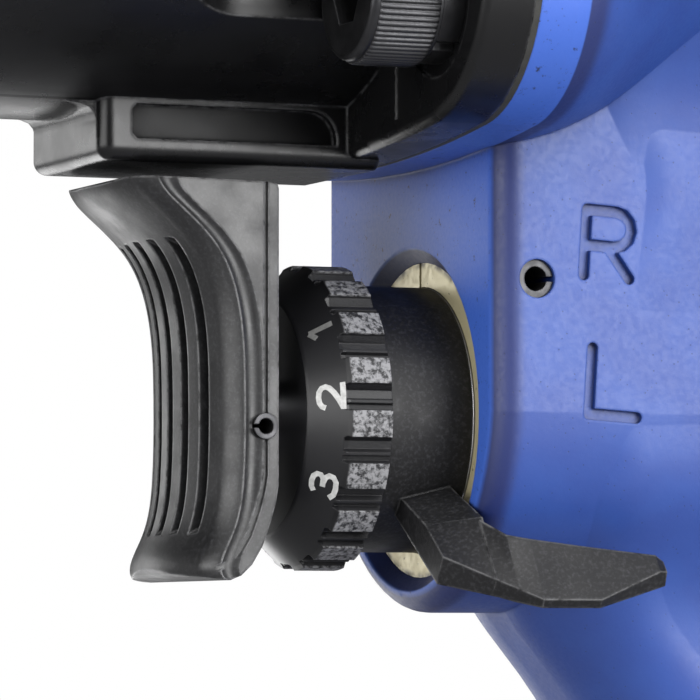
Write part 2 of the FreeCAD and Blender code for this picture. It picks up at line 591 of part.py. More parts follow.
def trigger_groove(y):
    """Flat-bottomed finger groove that follows the trigger's front line."""
    shift = TRIGGER_SAG * 0.64 * (y / 7.0) ** 2
    heights = [13.6, 13.0, 11.0, 9.0, 6.5, 3.0, -1.5, -6.0, -8.8, -9.4]
    inner = [(BOSS_X + trigger_front(h) - shift - GROOVE_DEPTH, VALVE_Z + h) for h in heights]
    inner[0] = (inner[0][0] + GROOVE_DEPTH, inner[0][1])
    inner[-1] = (inner[-1][0] + GROOVE_DEPTH, inner[-1][1])
    outer = [(inner[-1][0] + 3, inner[-1][1]), (inner[0][0] + 3, inner[0][1])]
    return prism_y(inner + outer, y - GROOVE_HALF, y + GROOVE_HALF)


def rear_line(reach):
    """Rear edge of the trigger's side from top to bottom, moved forward and up by reach."""
    line = [(14.8, 17.0), (14.8, -5.7), (15.0, -6.9), (15.45, -8.5), (16.15, -10.4), (17.0, -11.8),
            (17.9, -12.65), (19.0, -13.15), (19.8, -13.3)]
    return [(BOSS_X + x + reach, VALVE_Z + z + 0.9 * reach) for x, z in line]


def trigger_rim():
    """Cutters for the fine groove beside the rear rim, one on each side face."""
    strip = rear_line(0.9) + rear_line(1.2)[::-1]
    near = prism_y(strip, TRIGGER_HALF - RIM_DEPTH, TRIGGER_HALF + 1)
    return [near, near.mirror(Vector(0, 0, 0), Y_AXIS)]


def trigger():
    heights = [19.4, 17.6, 15.6, 12.6, 8.0, 2.0, -4.5, -9.4, -11.4, -13.5]
    body = Part.makeLoft([trigger_section(h, TRIGGER_SAG) for h in heights], True, False)
    top, lift = TRIGGER_TOP, 0.2
    trim = prism_y([(BOSS_X + 9, VALVE_Z + 24), (BOSS_X + 9, top), (TRIGGER_BACK + 0.5, top),
                    (BOSS_X + 26.5, top + lift), (BOSS_X + 27.2, top + lift - 0.3),
                    (BOSS_X + 32, top + lift - 0.3), (BOSS_X + 32, VALVE_Z + 24)], -15, 15)
    back_cut = prism_y([(BOSS_X + 9, VALVE_Z + 21), (TRIGGER_BACK + 0.5, VALVE_Z + 21),
                        (TRIGGER_BACK + 0.5, top), (TRIGGER_BACK + 0.12, top - 0.15),
                        (TRIGGER_BACK, top - 0.5)] + rear_line(0)[1:]
                       + [(BOSS_X + 19.8, VALVE_Z - 20), (BOSS_X + 9, VALVE_Z - 20)], -15, 15)
    foot = prism_y([(BOSS_X + x, VALVE_Z + z) for x, z in
                    ((25, -11.5), (22.6, -11.5), (22.3, -12.1), (21.8, -12.5), (21.0, -12.7), (19.6, -12.9),
                     (17.5, -13.1), (13, -13.3), (13, -17), (25, -17))], -15, 15)
    wall = 1.3
    hollow = block(BOSS_X + 10, BOSS_X + 16.9, -TRIGGER_HALF + wall, TRIGGER_HALF - wall,
                   VALVE_Z - 16, VALVE_Z + 16.2)
    post = rod_x(BOSS_X + 9, BOSS_X + 19, 5.2, 0, VALVE_Z)
    shell = body.cut(trim).cut(back_cut).cut(foot).cut(hollow.cut(post))
    cuts = [rod_x(BOSS_X + 10, ROD_FRONT + 0.2, ROD_R, 0, VALVE_Z),
            rod_y(-TRIGGER_HALF - 1, TRIGGER_HALF + 1, 1.0, TRIGGER_PIN_X, VALVE_Z - 1.1)]
    cuts += [trigger_groove(GROOVE_PITCH * (i - (GROOVES - 1) / 2)) for i in range(GROOVES)]
    for cut in cuts + trigger_rim():
        shell = shell.cut(cut)
    return shell


def trigger_pin():
    """Slotted roll pin through the trigger and its rod."""
    x, z = TRIGGER_PIN_X, VALVE_Z - 1.1
    pin = rod_y(-TRIGGER_HALF - 0.1, TRIGGER_HALF + 0.15, 1.0, x, z)
    pin = pin.cut(rod_y(-TRIGGER_HALF - 1, TRIGGER_HALF + 1, 0.62, x, z))
    return pin.cut(block(x, x + 2, -TRIGGER_HALF - 1, TRIGGER_HALF + 1, z - 0.15, z + 0.15))


def trigger_rod():
    body = rod_x(BOSS_X - 26, ROD_FRONT, ROD_R, 0, VALVE_Z)
    tail = rod_x(BOSS_X - 34, BOSS_X - 26, 1.6, 0, VALVE_Z)
    groove = tube_x(BOSS_X - 22, BOSS_X - 20, 4, 2.2, 0, VALVE_Z)
    hole = rod_y(-5, 5, 1.0, TRIGGER_PIN_X, VALVE_Z - 1.1)
    return body.fuse(tail).cut(groove).cut(hole)


def rod_o_ring():
    return tube_x(BOSS_X - 21.9, BOSS_X - 20.1, 3.16, 2.2, 0, VALVE_Z)


def throttle_poppet():
    return turned([(BOSS_X - 33.8, 1.6), (BOSS_X - 33.8, 4.0), (BOSS_X - 31.6, 6.2),
                   (BOSS_X - 29.9, 6.2), (BOSS_X - 28.7, 4.8), (BOSS_X - 28.7, 1.6)], 0, VALVE_Z)


def throttle_seat():
    """Ring seat in the end of the valve bore that the poppet closes on."""
    return tube_x(BOSS_X - 28.9, BOSS_X - 26.5, 9.4, 5.1, 0, VALVE_Z)


def throttle_spring():
    """Closing spring behind the poppet, four close coils as rings joined by a strip."""
    x0, x1, count = BOSS_X - 39.6, BOSS_X - 34.1, 4
    step = (x1 - x0 - 1.0) / (count - 1)
    rings = [tube_x(x0 + i * step, x0 + i * step + 1.0, 4.6, 3.6, 0, VALVE_Z) for i in range(count)]
    bar = block(x0, x1, 3.7, 4.5, VALVE_Z - 0.4, VALVE_Z + 0.4)
    return fuse_all(rings + [bar])


def dial_gap(angle):
    """Cutter for one gap between two teeth, with a low ridge beside its deep side."""
    outline = [(3.6, 13.4), (3.6, DIAL_R - 0.35), (5.6, DIAL_GAP_R), (9.0, DIAL_GAP_R), (9.7, DIAL_R - 0.35),
               (10.9, DIAL_R - 0.35), (11.5, DIAL_GAP_R + 0.2), (13.4, DIAL_GAP_R + 0.2), (14.4, 13.4)]
    points = [Vector(BOSS_X + 5, r * math.sin(math.radians(a)), VALVE_Z + r * math.cos(math.radians(a)))
              for a, r in outline]
    gap = Part.Face(Part.makePolygon(points + [points[0]])).extrude(Vector(5.3, 0, 0))
    return turn_x(gap, angle, 0, VALVE_Z)


def regulator_dial():
    """Power dial: toothed rim, coned front that carries the numbers, sleeve to the valve."""
    knob = turned([(DIAL_BACK, 0), (DIAL_BACK, DIAL_R - 0.95), (DIAL_BACK + 0.35, DIAL_R),
                   (BOSS_X + 9.9, DIAL_R), (BOSS_X + 10.1, DIAL_R - 0.3), (DIAL_FRONT - 0.15, 9.6),
                   (DIAL_FRONT, 9.4), (DIAL_FRONT, 0)], 0, VALVE_Z)
    sleeve = rod_x(BOSS_X - 24, BOSS_X + 7, SLEEVE_R, 0, VALVE_Z)
    body = knob.fuse(sleeve)
    pitch = 360.0 / DIAL_TEETH
    ports = [rod_z(VALVE_Z, VALVE_Z + 12, r, BOSS_X - x) for r, x in ((1.0, 9), (1.6, 13), (2.2, 18.5))]
    cuts = ports + [rod_x(BOSS_X - 25, BOSS_X + 14, ROD_R + 0.2, 0, VALVE_Z)]
    cuts += [dial_gap(DIAL_TURN + pitch * i) for i in range(DIAL_TEETH)]
    return body.cut(Part.makeCompound(cuts))


def dial_retaining_clip():
    """Snap ring that keeps the dial's sleeve in the reverse valve."""
    ring = tube_x(BOSS_X - 25.2, BOSS_X - 24.1, 8.6, 3.6, 0, VALVE_Z)
    return ring.cut(block(BOSS_X - 26, BOSS_X - 23, 3, 10, VALVE_Z - 1, VALVE_Z + 1))


def lever_station(x, points):
    """Section of the reverse lever's finger blade at x, points as (y, z)."""
    vec = [Vector(BOSS_X + x, y, VALVE_Z + z) for y, z in points]
    return Part.makePolygon(vec + [vec[0]])


def lever_blade():
    """Arm out of the collar and the finger blade that runs back beside the handle."""
    arm = [(4.2, [(8.0, -6.4), (13.0, -8.7), (16.3, -11.2), (15.2, -13.3), (6.0, -7.1)]),
           (0.3, [(8.6, -5.4), (15.1, -8.1), (18.5, -13.1), (17.8, -14.3), (6.7, -6.1)])]
    blade = [(0.6, [(15.2, -8.3), (18.4, -12.95), (17.6, -14.2), (14.2, -10.8)]),
             (-0.9, [(17.0, -9.5), (19.3, -13.7), (18.6, -14.7), (15.9, -11.4)]),
             (-2.6, [(17.4, -9.8), (20.2, -14.5), (19.8, -15.15), (16.2, -11.8)]),
             (-7.5, [(17.7, -10.4), (20.2, -14.5), (19.8, -15.15), (16.4, -12.2)]),
             (-13.2, [(17.8, -11.0), (18.7, -12.3), (18.3, -13.6), (16.6, -12.9)]),
             (-13.9, [(17.8, -11.5), (18.5, -12.3), (18.1, -13.4), (16.9, -12.9)])]
    lofts = [Part.makeLoft([lever_station(x, points) for x, points in rows], True, True) for rows in (arm, blade)]
    return lofts[0].fuse(lofts[1])


def reverse_lever():
    collar = rod_x(COLLAR_BACK, BOSS_X + 6.0, COLLAR_R, 0, VALVE_Z)
    body = collar.fuse(lever_blade())
    return body.cut(rod_x(BOSS_X - 2, BOSS_X + 7, SLEEVE_R + 0.1, 0, VALVE_Z))


def reverse_valve():
    """Ported sleeve that the lever turns inside the bushing."""
    body = tube_x(BOSS_X - 24, COLLAR_BACK, COLLAR_R, SLEEVE_R + 0.1, 0, VALVE_Z)
    pin_groove = tube_x(BOSS_X - 4.95, BOSS_X - 1.65, 12, 8.55, 0, VALVE_Z)
    ball_track = Part.makeTorus(COLLAR_R + 0.9, 2.1, Vector(BOSS_X - 15.5, 0, VALVE_Z), X_AXIS)
    seal_groove = tube_x(BOSS_X - 8.3, BOSS_X - 6.5, 12, 9.3, 0, VALVE_Z)
    ports = [turn_x(rod_z(VALVE_Z, VALVE_Z + 14, 2.4, BOSS_X - 20.5), a, 0, VALVE_Z) for a in (-30, 30, 180)]
    return body.cut(Part.makeCompound([pin_groove, ball_track, seal_groove] + ports))


def valve_seal():
    return tube_x(BOSS_X - 8.25, BOSS_X - 6.55, COLLAR_R + 0.03, 9.3, 0, VALVE_Z)


def valve_bushing():
    body = tube_x(BOSS_X - 26, BUSH_FACE, BUSH_R, COLLAR_R + 0.08, 0, VALVE_Z)
    key = block(BUSH_FACE - 0.6, BOSS_X, -0.2, 0.2, VALVE_Z + COLLAR_R, VALVE_Z + BUSH_R + 0.1)
    cuts = [key, rod_y(-14, 14, 1.5, BOSS_X - 3.3, VALVE_Z + 10.3),
            rod_z(VALVE_Z + 8, VALVE_Z + 16, 2.1, BOSS_X - 15.5)]
    cuts += [turn_x(rod_z(VALVE_Z, VALVE_Z + 16, 2.6, BOSS_X - 20.5), a, 0, VALVE_Z) for a in (-30, 30, 180)]
    return body.cut(Part.makeCompound(cuts))


def valve_retaining_pin():
    """Roll pin from the side of the handle, tangent to the valve's groove."""
    x, z = BOSS_X - 3.3, VALVE_Z + 10.3
    pin = rod_y(-12.5, HALF_GRIP - 0.35, 1.5, x, z)
    pin = pin.cut(rod_y(-13, HALF_GRIP, 0.95, x, z))
    return pin.cut(block(x - 2, x, -13, HALF_GRIP + 1, z - 0.2, z + 0.2))


def detent_ball():
    return Part.makeSphere(1.95, Vector(BOSS_X - 15.5, 0, VALVE_Z + COLLAR_R + 1.0))


def detent_spring():
    z0, z1, count = VALVE_Z + COLLAR_R + 3.2, VALVE_Z + 21.8, 6
    step = (z1 - z0 - 0.6) / (count - 1)
    rings = []
    for i in range(count):
        low = z0 + i * step
        ring = rod_z(low, low + 0.6, 1.9, BOSS_X - 15.5).cut(rod_z(low - 1, low + 1, 1.3, BOSS_X - 15.5))
        rings.append(ring)
    bar = block(BOSS_X - 13.95, BOSS_X - 13.65, -0.25, 0.25, z0, z1)
    return fuse_all(rings + [bar])


# ---- handle base --------------------------------------------------------------
def inlet_bushing():
    """Steel inlet fitting: hexagon outside, 1/4 inch pipe thread inside."""
    stem = rod_z(BASE_Z - 6.2, BASE_Z + 14, 9.0, INLET_X)
    turn = [math.radians(60 * i + 30) for i in range(6)]
    points = [Vector(INLET_X + 11.3 * math.cos(a), 11.3 * math.sin(a), INLET_Z) for a in turn]
    hexagon = Part.Face(Part.makePolygon(points + [points[0]])).extrude(Vector(0, 0, 2.9))
    hexagon = hexagon.common(Part.makeCone(10.4, 14, 3.6, Vector(INLET_X, 0, INLET_Z), Z_AXIS))
    body = stem.fuse(rod_z(INLET_Z + 2.8, BASE_Z - 6.1, 9.0, INLET_X)).fuse(hexagon)
    bore = rod_z(INLET_Z - 1, INLET_Z + 15, INLET_BORE, INLET_X)
    through = rod_z(INLET_Z, BASE_Z + 15, 4.6, INLET_X)
    return body.cut(bore).cut(through)


def inlet_screen():
    """Cup-shaped strainer above the inlet fitting."""
    cup = rod_z(BASE_Z + 14.0, BASE_Z + 24, 5.4, INLET_X)
    cup = cup.cut(rod_z(BASE_Z + 13, BASE_Z + 23.2, 4.7, INLET_X))
    holes = []
    for row in range(3):
        for i in range(8):
            hole = rod_x(INLET_X, INLET_X + 7, 0.7, 0, BASE_Z + 16.4 + 2.3 * row)
            hole.rotate(Vector(INLET_X, 0, 0), Z_AXIS, 45 * i + 22.5 * (row % 2))
            holes.append(hole)
    return cup.cut(Part.makeCompound(holes))


def base_outline(z0, z1, inset):
    wire = grip_section(BASE_Z - VALVE_Z, -10 - inset, -55 + inset, 19.5 - inset, 13 - inset)
    plate = Part.Face(wire).extrude(Vector(0, 0, z1 - z0))
    plate.translate(Vector(0, 0, z0 - BASE_Z))
    return plate


def exhaust_deflector():
    """Shroud under the handle that turns the exhaust away, slotted round its wall."""
    shell = base_outline(EXHAUST_Z, BASE_Z, 1.0)
    low = [e for e in shell.Edges if e.BoundBox.ZMax < EXHAUST_Z + 0.01]
    shell = shell.makeFillet(1.6, low)
    room = base_outline(EXHAUST_Z + 1.8, BASE_Z + 1, 3.0)
    collar = rod_z(EXHAUST_Z, BASE_Z, 11.4, INLET_X)
    body = shell.cut(room).fuse(collar)
    bore = rod_z(EXHAUST_Z - 1, BASE_Z + 1, 9.1, INLET_X)
    cuts = [bore]
    for i in range(7):
        x = BOSS_X - 45.5 + 4.5 * i
        cuts.append(block(x, x + 2.0, -30, 30, EXHAUST_Z + 2.1, BASE_Z - 1.2))
    return body.cut(Part.makeCompound(cuts)).fuse(collar.cut(bore)).removeSplitter()


def muffler_felt():
    pad = base_outline(EXHAUST_Z + 2.0, BASE_Z - 0.2, 3.4)
    return pad.cut(rod_z(EXHAUST_Z, BASE_Z + 1, 11.6, INLET_X))


# ---- the parts ----------------------------------------------------------------
front_outer, front_inner, front_balls = bearing(BOSS_X - 10, BOSS_X - 2, 14.0, 6.0, 2.3, 8)
rear_outer, rear_inner, rear_balls = bearing(LINER_BACK - 9, LINER_BACK - 2, 12.0, 5.0, 1.95, 8)

NODES = {
    "motor_housing": motor_housing(),
    "hammer_case": hammer_case(),
    "case_gasket": case_gasket(),
    "hammer_case_screws": hammer_case_screws(),
    "case_lock_washers": case_lock_washers(),
    "rear_gasket": rear_gasket(),
    "rear_cover": rear_cover(),
    "rear_cover_screws": rear_cover_screws(),
    "cylinder_liner": cylinder_liner(),
    "cylinder_dowels": dowels(),
    "front_end_plate": front_end_plate(),
    "rear_end_plate": rear_end_plate(),
    "front_bearing_outer_race": front_outer,
    "front_bearing_inner_race": front_inner,
    "front_bearing_balls": front_balls,
    "rear_bearing_outer_race": rear_outer,
    "rear_bearing_inner_race": rear_inner,
    "rear_bearing_balls": rear_balls,
    "rotor": rotor(),
    "rotor_vanes": rotor_vanes(),
    "hammer_cage": hammer_cage(),
    "hammer_pins": hammer_pins(),
    "rear_hammer": hammer(CAGE_BACK + DISC_T + HAMMER_GAP, 0),
    "front_hammer": hammer(CAGE_BACK + DISC_T + 2 * HAMMER_GAP + HAMMER_T, 180),
    "anvil": anvil(),
    "anvil_bushing": anvil_bushing(),
    "nose_seal": nose_seal(),
    "socket_retaining_ring": retaining_ring(),
    "socket_ring_o_ring": retaining_o_ring(),
    "trigger": trigger(),
    "trigger_pin": trigger_pin(),
    "trigger_rod": trigger_rod(),
    "trigger_rod_o_ring": rod_o_ring(),
    "throttle_poppet": throttle_poppet(),
    "throttle_seat": throttle_seat(),
    "throttle_spring": throttle_spring(),
    "regulator_dial": regulator_dial(),
    "dial_retaining_clip": dial_retaining_clip(),
    "reverse_lever": reverse_lever(),
    "reverse_valve": reverse_valve(),
    "reverse_valve_seal": valve_seal(),
    "valve_bushing": valve_bushing(),
    "valve_retaining_pin": valve_retaining_pin(),
    "reverse_detent_ball": detent_ball(),
    "reverse_detent_spring": detent_spring(),
    "inlet_bushing": inlet_bushing(),
    "inlet_screen": inlet_screen(),
    "exhaust_deflector": exhaust_deflector(),
    "muffler_felt": muffler_felt(),
}

for name, shape in NODES.items():
    solids = shape if isinstance(shape, list) else shape.Solids
    result = Part.makeCompound(solids) if len(solids) > 1 else solids[0]
    result.exportStep("parts/" + name + ".step")
    print(name, len(solids), all(s.isValid() for s in solids), round(sum(s.Volume for s in solids)))
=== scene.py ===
import json
import math

import bpy
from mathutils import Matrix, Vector


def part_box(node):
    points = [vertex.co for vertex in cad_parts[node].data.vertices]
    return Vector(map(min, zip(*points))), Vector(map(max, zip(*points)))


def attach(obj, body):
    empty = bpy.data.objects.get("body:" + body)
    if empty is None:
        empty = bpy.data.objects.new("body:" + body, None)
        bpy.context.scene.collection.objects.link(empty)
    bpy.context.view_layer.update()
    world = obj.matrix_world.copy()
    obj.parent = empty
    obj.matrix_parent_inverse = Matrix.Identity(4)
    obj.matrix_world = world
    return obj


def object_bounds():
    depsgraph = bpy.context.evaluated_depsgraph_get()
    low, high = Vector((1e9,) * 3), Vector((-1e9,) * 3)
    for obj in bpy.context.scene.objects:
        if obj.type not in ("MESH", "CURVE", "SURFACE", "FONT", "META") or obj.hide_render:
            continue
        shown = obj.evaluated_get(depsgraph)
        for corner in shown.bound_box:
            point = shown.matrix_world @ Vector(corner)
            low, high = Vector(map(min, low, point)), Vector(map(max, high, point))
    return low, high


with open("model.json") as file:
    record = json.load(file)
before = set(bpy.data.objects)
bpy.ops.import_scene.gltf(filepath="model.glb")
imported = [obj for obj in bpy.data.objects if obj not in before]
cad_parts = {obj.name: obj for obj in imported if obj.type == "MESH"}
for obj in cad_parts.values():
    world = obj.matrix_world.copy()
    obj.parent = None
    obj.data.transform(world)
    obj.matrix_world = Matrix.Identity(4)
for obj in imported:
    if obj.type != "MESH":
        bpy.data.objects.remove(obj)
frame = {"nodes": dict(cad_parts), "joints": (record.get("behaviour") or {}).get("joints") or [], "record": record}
cad_box = [list(corner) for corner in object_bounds()]
NODES = frame["nodes"]
MM = 0.001

# ---- places, all from the frame ------------------------------------------------
JOINTS = {joint["name"]: joint for joint in frame["joints"]}
VALVE = Vector(JOINTS["dial_turn"]["pos_m"])          # on the dial and lever axis, in the boss face
SCREW_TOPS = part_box("hammer_case_screws")[1]          # the screw heads face forward
FLOOR_Z = cad_box[0][2]                               # the tool stands on its air inlet
SHARP = math.radians(28)                              # edges that turn more than this stay crisp


# ---- camera --------------------------------------------------------------------
VIEW_TURN = math.radians(23.5)     # round from the tool's left side towards its nose
VIEW_DROP = math.radians(2.5)      # below the horizontal
VIEW_DISTANCE = 0.414
SENSOR_MM = 36.0
FOCAL_MM = 266.14
CLIP_NEAR, CLIP_FAR = 0.01, 20.0
AIM = VALVE + Vector((5.03, 0.0, 5.5)) * MM


def make_camera():
    data = bpy.data.cameras.new("camera")
    data.sensor_width = SENSOR_MM
    data.lens = FOCAL_MM
    data.clip_start = CLIP_NEAR
    data.clip_end = CLIP_FAR
    camera = bpy.data.objects.new("camera", data)
    away = Vector((math.sin(VIEW_TURN) * math.cos(VIEW_DROP),
                   math.cos(VIEW_TURN) * math.cos(VIEW_DROP),
                   -math.sin(VIEW_DROP)))
    camera.location = VALVE + VIEW_DISTANCE * away
    camera.rotation_euler = (AIM - camera.location).to_track_quat("-Z", "Y").to_euler()
    bpy.context.scene.collection.objects.link(camera)
    bpy.context.scene.camera = camera


# ---- material helpers ----------------------------------------------------------
EDGE_FLAT, EDGE_TURN = 0.995, 0.93      # rounded normal against true normal: flat face, full edge
HOLLOW_DARK, HOLLOW_OPEN = 0.35, 0.85   # share of the sky seen: deep corner, open face


class Nodes:
    """Short hand for building one material's node tree in object coordinates."""

    def __init__(self, name):
        self.material = bpy.data.materials.new(name)
        self.material.use_nodes = True
        self.tree = self.material.node_tree
        self.shader = self.tree.nodes["Principled BSDF"]
        self.place = self.tree.nodes.new("ShaderNodeTexCoord").outputs["Object"]

    def new(self, kind, **settings):
        node = self.tree.nodes.new("ShaderNode" + kind)
        for key, value in settings.items():
            setattr(node, key, value)
        return node

    def link(self, a, b):
        self.tree.links.new(a, b)

    def feed(self, socket, value):
        if hasattr(value, "links"):
            self.link(value, socket)
        else:
            socket.default_value = value

    def stretch(self, x, y, z):
        """Object coordinates scaled along each axis."""
        node = self.new("Mapping")
        self.link(self.place, node.inputs["Vector"])
        node.inputs["Scale"].default_value = (x, y, z)
        return node.outputs["Vector"]

    def noise(self, scale, detail=3.0, rough=0.55, vector=None):
        node = self.new("TexNoise")
        self.link(vector or self.place, node.inputs["Vector"])
        node.inputs["Scale"].default_value = scale
        node.inputs["Detail"].default_value = detail
        node.inputs["Roughness"].default_value = rough
        return node.outputs["Fac"]

    def cells(self, scale):
        """Distance to the nearest of many scattered points."""
        node = self.new("TexVoronoi")
        self.link(self.place, node.inputs["Vector"])
        node.inputs["Scale"].default_value = scale
        return node.outputs["Distance"]

    def span(self, value, low, high, to_low=0.0, to_high=1.0):
        """Smooth step from to_low, where value is low, to to_high, where it is high."""
        node = self.new("MapRange", interpolation_type="SMOOTHSTEP")
        self.link(value, node.inputs["Value"])
        ends = {"From Min": low, "From Max": high, "To Min": to_low, "To Max": to_high}
        for key, number in ends.items():
            node.inputs[key].default_value = number
        return node.outputs["Result"]

    def within(self, value, low, high, soft):
        """One between low and high, fading to nought over soft at both ends."""
        return self.times(self.span(value, high, high - soft), self.span(value, low, low + soft))

    def math(self, operation, a, b):
        node = self.new("Math", operation=operation)
        self.feed(node.inputs[0], a)
        self.feed(node.inputs[1], b)
        return node.outputs[0]

    def times(self, a, b):
        return self.math("MULTIPLY", a, b)

    def mix(self, factor, a, b):
        node = self.new("Mix", data_type="RGBA")
        self.feed(node.inputs["Factor"], factor)
        self.feed(node.inputs["A"], a)
        self.feed(node.inputs["B"], b)
        return node.outputs["Result"]

    def axis(self, name):
        node = self.new("SeparateXYZ")
        self.link(self.place, node.inputs[0])
        return node.outputs[name]

    def radius(self, centre):
        """Distance from the X-parallel axis through centre."""
        offset = self.new("VectorMath", operation="SUBTRACT")
        self.link(self.place, offset.inputs[0])
        offset.inputs[1].default_value = centre
        flat = self.new("VectorMath", operation="MULTIPLY")
        self.link(offset.outputs[0], flat.inputs[0])
        flat.inputs[1].default_value = (0, 1, 1)
        length = self.new("VectorMath", operation="LENGTH")
        self.link(flat.outputs[0], length.inputs[0])
        return length.outputs["Value"]

    def bump(self, height, depth, strength, under=None):
        node = self.new("Bump")
        node.inputs["Distance"].default_value = depth
        node.inputs["Strength"].default_value = strength
        self.link(height, node.inputs["Height"])
        if under is not None:
            self.link(under, node.inputs["Normal"])
        return node.outputs["Normal"]

    def rounded(self, reach):
        """Normals that turn smoothly over every edge within reach."""
        node = self.new("Bevel", samples=5)
        node.inputs["Radius"].default_value = reach
        return node.outputs["Normal"]

    def worn_edges(self, reach):
        """One along convex and concave edges, nought on open faces."""
        dot = self.new("VectorMath", operation="DOT_PRODUCT")
        self.link(self.rounded(reach), dot.inputs[0])
        self.link(self.new("NewGeometry").outputs["Normal"], dot.inputs[1])
        return self.span(dot.outputs["Value"], EDGE_TURN, EDGE_FLAT, 1.0, 0.0)

    def hollows(self, reach):
        """One in corners and crevices, nought on open faces."""
        node = self.new("AmbientOcclusion", samples=6)
        node.inputs["Distance"].default_value = reach
        return self.span(node.outputs["AO"], HOLLOW_DARK, HOLLOW_OPEN, 1.0, 0.0)

    def set(self, **values):
        names = {"color": "Base Color", "metallic": "Metallic", "rough": "Roughness", "normal": "Normal",
                 "specular": "Specular IOR Level"}
        for key, value in values.items():
            self.feed(self.shader.inputs[names[key]], value)
        return self.material


def srgb(red, green, blue):
    """Linear colour, with alpha, of an 8-bit display colour."""
    parts = [c / 255.0 for c in (red, green, blue)]
    return tuple(c / 12.92 if c <= 0.04045 else ((c + 0.055) / 1.055) ** 2.4 for c in parts) + (1.0,)


# ---- materials -----------------------------------------------------------------
PAINT_DEEP = srgb(30, 60, 132)
PAINT_PALE = srgb(33, 66, 139)
PAINT_BOSS = srgb(54, 94, 186)
# painted shade: deep blue for the band on the rounded casting edge round the boss face
PAINT_EDGE_SHADE = srgb(8, 18, 72)
# painted shade: dark blue for the paint's corners and crevices
PAINT_HOLLOW_SHADE = srgb(8, 18, 66)
PAINT_DIRT = srgb(14, 20, 44)
EDGE_REACH = 0.28 * MM                  # how far the edges of castings look rounded
CASE_REACH = 0.45 * MM
FINE_REACH = 0.15 * MM                  # the same on machined steel
DIAL_REACH = 0.12 * MM
FINE_BUMP = 0.00003                     # bump depths, metres
BUMP = 0.00005
PANEL_Y = (7.0, 7.75)                   # sunk side panel of the rib, mm from the middle plane
PANEL_Z = (20.8, 24.2)                  # and above the valve axis
PANEL_X = (9.0, 9.4)                    # and its rear end, forward of the boss face
PANEL_SOFT = 0.2


def blue_paint():
    """Satin blue over a casting; the boss face is paler and specked, the band round it has painted shade in deep
    blue, and its corners and crevices have painted shade.
    """
    n = Nodes("blue_paint")
    grain = n.noise(2600, detail=4, rough=0.6)
    swell = n.noise(160, detail=3, rough=0.5)
    pits = n.span(n.cells(1500), 0.13, 0.06)
    along = n.axis("X")
    face = n.span(along, VALVE.x - 0.12 * MM, VALVE.x - 0.02 * MM)
    # painted shade: the dark band on the rounded casting edge just behind the boss face
    edge = n.times(n.span(along, VALVE.x - 2.6 * MM, VALVE.x - 1.2 * MM),
                   n.span(along, VALVE.x - 0.1 * MM, VALVE.x - 0.2 * MM))
    specks = n.times(n.span(n.noise(900, detail=5, rough=0.75), 0.60, 0.68), face)
    tone = n.mix(n.span(swell, 0.35, 0.65), PAINT_DEEP, PAINT_PALE)
    tone = n.mix(n.times(face, 0.85), tone, PAINT_BOSS)
    tone = n.mix(n.times(edge, 0.8), tone, PAINT_EDGE_SHADE)
    # painted shade in corners and crevices, from the ambient occlusion mask
    tone = n.mix(n.times(n.hollows(0.9 * MM), 0.75), tone, PAINT_HOLLOW_SHADE)
    color = n.mix(n.math("MAXIMUM", n.times(pits, 0.5), specks), tone, PAINT_DIRT)
    height = n.math("SUBTRACT", n.times(grain, 0.5), n.times(pits, 0.4))
    rough = n.span(grain, 0.3, 0.7, 0.47, 0.56)
    return n.set(color=color, metallic=0.0, rough=rough,
                 normal=n.bump(height, BUMP, 0.45, n.rounded(EDGE_REACH)), specular=0.6)


def case_black():
    """Gloss black over a machined casting, with a few dust specks; duller in the rib's side panel."""
    n = Nodes("case_black")
    peel = n.noise(520, detail=3, rough=0.5)
    specks = n.span(n.noise(1100, detail=4, rough=0.7), 0.70, 0.76)
    worn = n.times(n.worn_edges(0.30 * MM), n.span(n.noise(700, detail=4, rough=0.7), 0.40, 0.60))
    color = n.mix(specks, srgb(15, 15, 16), srgb(60, 60, 62))
    color = n.mix(n.times(worn, 0.35), color, srgb(120, 120, 122))
    rough = n.span(n.noise(240, detail=4), 0.3, 0.7, 0.24, 0.34)
    low, high = [VALVE.z + z * MM for z in PANEL_Z]
    panel = n.times(n.within(n.axis("Y"), PANEL_Y[0] * MM, PANEL_Y[1] * MM, PANEL_SOFT * MM),
                    n.within(n.axis("Z"), low, high, PANEL_SOFT * MM))
    panel = n.times(panel, n.span(n.axis("X"), VALVE.x + PANEL_X[0] * MM, VALVE.x + PANEL_X[1] * MM))
    shine = n.times(n.span(n.hollows(1.6 * MM), 0.1, 0.7, 0.30, 0.10),
                    n.span(panel, 0.0, 1.0, 1.0, 0.28))
    return n.set(color=color, rough=rough, normal=n.bump(peel, BUMP, 0.2, n.rounded(CASE_REACH)),
                 specular=shine)


def die_cast_black(name, shine, wear, specular):
    """Satin black coating with a very fine grain, rubbed lighter along its edges, with painted shade in its
    hollows.
    """
    n = Nodes(name)
    grain = n.noise(3200, detail=4, rough=0.65)
    swell = n.noise(260, detail=3)
    rubbed = n.times(n.worn_edges(0.25 * MM), n.span(n.noise(900, detail=4, rough=0.7), 0.35, 0.55))
    color = n.mix(n.span(grain, 0.45, 0.75), srgb(24, 24, 25), srgb(46, 46, 48))
    color = n.mix(n.times(rubbed, wear), color, srgb(190, 190, 192))
    # painted shade: near black in corners and crevices, from the ambient occlusion mask
    color = n.mix(n.times(n.hollows(0.8 * MM), 0.8), color, srgb(8, 8, 9))
    rough = n.span(swell, 0.3, 0.7, shine - 0.05, shine + 0.10)
    return n.set(color=color, rough=rough, normal=n.bump(grain, FINE_BUMP, 0.45, n.rounded(EDGE_REACH)),
                 specular=specular)


